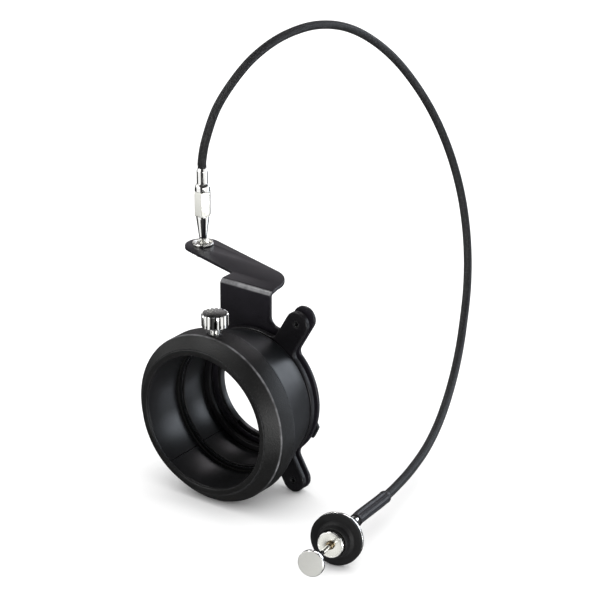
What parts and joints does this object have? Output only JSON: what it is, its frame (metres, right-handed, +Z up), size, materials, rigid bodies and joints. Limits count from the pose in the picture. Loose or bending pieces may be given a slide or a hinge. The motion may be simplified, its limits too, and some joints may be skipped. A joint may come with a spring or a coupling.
{
  "type": "cable shutter release on an eyepiece ring bracket",
  "caption": "Flared ring adapter with a clamp screw, a sheet bracket arm over it, and a wire cable release screwed to the arm, its plunger lying beside.",
  "frame": {"origin": "middle of the adapter's and bracket's footprint, on the surface that the ring and its two lower ears stand on", "axes": "+Z up, -Y towards the ring's open front, +X to the right seen from the front; the ring's own axis runs along Y, leaning 6.3 degrees front down"},
  "size_m": [0.1441, 0.2426, 0.178],
  "materials": {
    "black_aluminium": "satin black over a fine blasted grain",
    "black_enamel": "satin black, fine grain",
    "black_anodised": "black anodised, turned",
    "black_plastic": "matte moulded",
    "black_rubber": "matte",
    "chrome": "bright plated",
    "satin_steel": "satin plated",
    "spring_steel": "drawn wire",
    "brass": "turned",
    "nylon": "natural",
    "woven_sheath": "woven over a wire coil"
  },
  "bodies": {
    "housing": {"front_ring": "black_aluminium", "barrel": "black_aluminium", "front_sleeve": "black_anodised", "light_seal": "black_rubber", "rear_sleeve": "black_anodised", "screw_bush": "black_anodised", "ear_flange": "black_aluminium", "ear_pin_upper": "black_anodised", "ear_pin_right": "black_anodised", "ear_pin_left": "black_anodised", "ear_spacer_upper": "black_plastic", "ear_spacer_right": "black_plastic", "ear_spacer_left": "black_plastic", "bracket_plate": "black_enamel", "bayonet_ring": "black_anodised", "retaining_ring": "black_anodised", "arm_bushing": "chrome", "bushing_nut": "chrome", "tip_shoulder": "chrome", "tip_ferrule": "chrome", "cable_sheath": "woven_sheath", "strain_relief": "black_rubber", "plunger_neck": "chrome", "plunger_barrel": "satin_steel", "rod_guide": "brass", "return_spring": "spring_steel"},
    "clamp_feed_pad": {"pressure_pad": "nylon"},
    "clamp_screw": {"clamp_knob": "chrome", "clamp_shank": "chrome"},
    "lock_ring": {"lock_ring": "black_enamel"},
    "tip_screw": {"tip_nose": "chrome", "tip_collar": "satin_steel"},
    "push_pin": {"tip_pin": "spring_steel"},
    "plunger": {"plunger_rod": "chrome", "plunger_button": "satin_steel"},
    "finger_disc": {"finger_disc": "black_plastic", "disc_backing": "chrome"}
  },
  "joints": [
    {"name": "clamp_feed", "type": "slide", "parent": "housing", "child": "clamp_feed_pad", "axis": [0, -0.1104, 0.9939], "range_m": [-0.0025, 0.0005]},
    {"name": "clamp_turn", "type": "hinge", "parent": "clamp_feed_pad", "child": "clamp_screw", "pos_m": [0.01083, -0.02757, 0.07597], "axis": [0, -0.1104, 0.9939], "range_deg": [-1801, 361]},
    {"name": "lock_turn", "type": "hinge", "parent": "housing", "child": "lock_ring", "pos_m": [0.01083, 0.00954, 0.03984], "axis": [0, 0.9939, 0.1104], "range_deg": [0, 18]},
    {"name": "collar_turn", "type": "hinge", "parent": "housing", "child": "tip_screw", "pos_m": [-0.03907, 0.02618, 0.10206], "axis": [0, -0.1104, 0.9939], "continuous": true},
    {"name": "plunger_press", "type": "slide", "parent": "housing", "child": "plunger", "axis": [-0.2385, 0.9711, 0], "range_m": [0, 0.008], "stiffness_N_per_m": 200, "springref_m": -0.006, "deforming": ["return_spring"]},
    {"name": "pin_out", "type": "slide", "parent": "housing", "child": "push_pin", "axis": [0, 0.1104, -0.9939], "range_m": [0, 0.00801]},
    {"name": "disc_release", "type": "slide", "parent": "housing", "child": "finger_disc", "axis": [0.2385, -0.9711, 0], "range_m": [0, 0.0015], "stiffness_N_per_m": 900, "springref_m": -0.001}
  ],
  "couplings": [
    {"joint": "clamp_turn", "follows": "clamp_feed", "rad_per_m": 12566},
    {"joint": "pin_out", "follows": "plunger_press", "ratio": 1}
  ]
}
